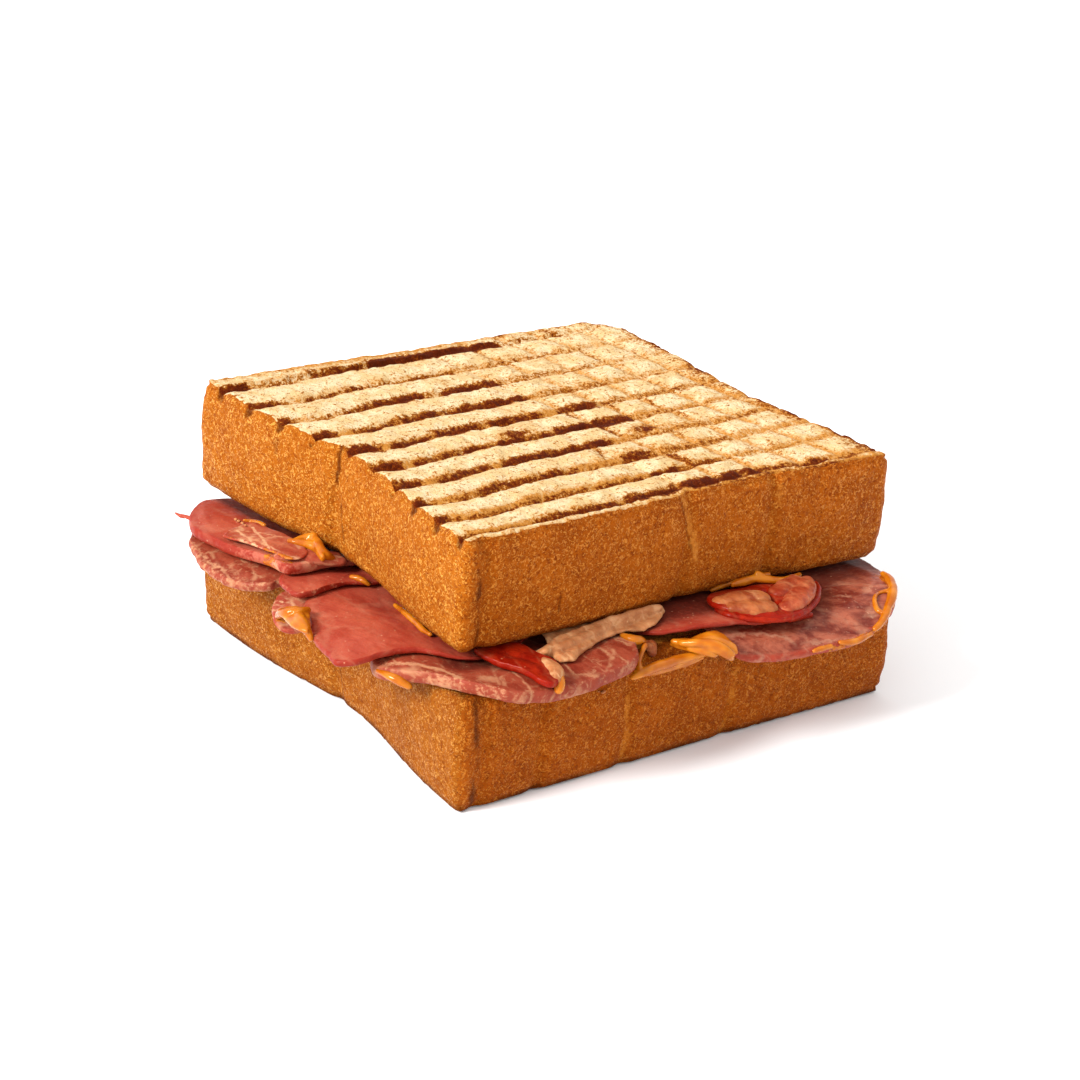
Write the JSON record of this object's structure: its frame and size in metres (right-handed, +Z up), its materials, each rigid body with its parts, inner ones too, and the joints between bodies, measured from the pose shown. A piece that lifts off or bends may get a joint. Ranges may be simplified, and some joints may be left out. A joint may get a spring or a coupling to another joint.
{
  "type": "cold cut sandwich",
  "caption": "Square toasted sandwich with grill-marked bread slices and a ruffled filling of ham, bacon and sauce.",
  "frame": {"origin": "middle of the lower slice's underside, on the surface that the sandwich rests on", "axes": "+X along the slices' longer side, +Y from the front side to the back side, +Z up"},
  "size_m": [0.1401, 0.1312, 0.0592],
  "materials": {
    "crust_lower": "browned bread crust, dry and slightly rough",
    "crust_upper": "grilled bread, golden with charred grooves",
    "ham_marbled": "moist cooked ham, pink with pale fat",
    "ham_smooth": "moist smooth ham, deep pink",
    "bacon": "glossy fried bacon",
    "meat_pale": "moist pale meat",
    "sauce": "glossy thick sauce"
  },
  "bodies": {
    "root": {"bread_lower": "crust_lower", "bread_upper": "crust_upper", "ham_low_left": "ham_marbled", "ham_back_left": "ham_marbled", "ham_near_corner": "ham_marbled", "ham_right": "ham_marbled", "ham_thin_left": "ham_marbled", "ham_near_left": "ham_smooth", "ham_middle_left": "ham_smooth", "ham_through": "ham_smooth", "ham_upper_left": "ham_smooth", "ham_shred": "ham_smooth", "bacon_tip": "bacon", "bacon_curl": "bacon", "meat_strip": "meat_pale", "sauce_tongue": "sauce", "sauce_drip_left": "sauce", "sauce_string": "sauce", "sauce_flap_left": "sauce", "sauce_flap_right": "sauce"}
  },
  "joints": []
}
